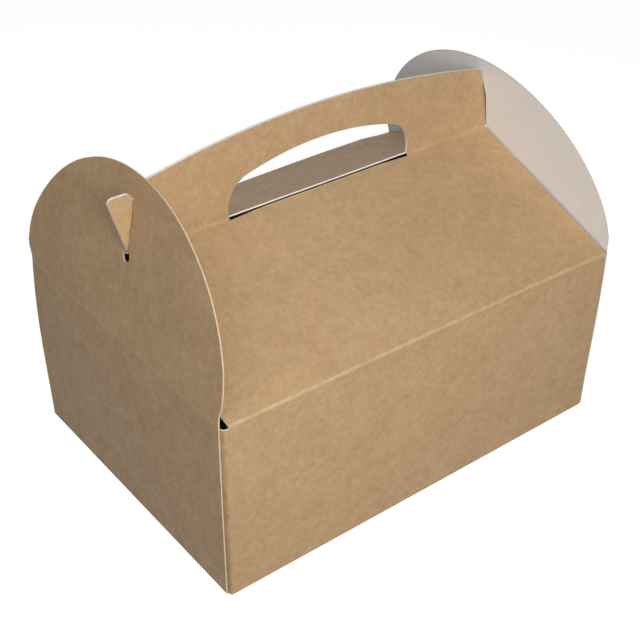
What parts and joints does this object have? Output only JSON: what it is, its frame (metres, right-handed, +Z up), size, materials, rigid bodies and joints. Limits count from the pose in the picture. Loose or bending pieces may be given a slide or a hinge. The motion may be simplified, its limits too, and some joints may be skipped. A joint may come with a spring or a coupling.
{
  "type": "handled cardboard box",
  "caption": "Folded kraft board box with sloping roof panels, an arched two-ply carry handle with a hand opening, and arched end flaps hooked over the handle's tabs.",
  "frame": {"origin": "centre of the underside of the base, on the surface that the box stands on", "axes": "+X along the ridge and the handle, towards the right end flap; -Y is the front wall's side; +Z up"},
  "size_m": [0.2, 0.144, 0.1549],
  "materials": {
    "kraft_board": "matt uncoated kraft outside, white inside, white cut edges",
    "flap_board": "matt uncoated kraft outside, white inside, white cut edges"
  },
  "bodies": {
    "carton": {"carton": "kraft_board"},
    "left_flap": {"left_end_flap": "flap_board"},
    "right_flap": {"right_end_flap": "flap_board"}
  },
  "joints": [
    {"name": "left_flap_crease", "type": "hinge", "parent": "carton", "child": "left_flap", "pos_m": [-0.1, 0, 0.083], "axis": [0, -1, 0], "range_deg": [0, 165]},
    {"name": "right_flap_crease", "type": "hinge", "parent": "carton", "child": "right_flap", "pos_m": [0.1, 0, 0.083], "axis": [0, 1, 0], "range_deg": [0, 165]}
  ]
}
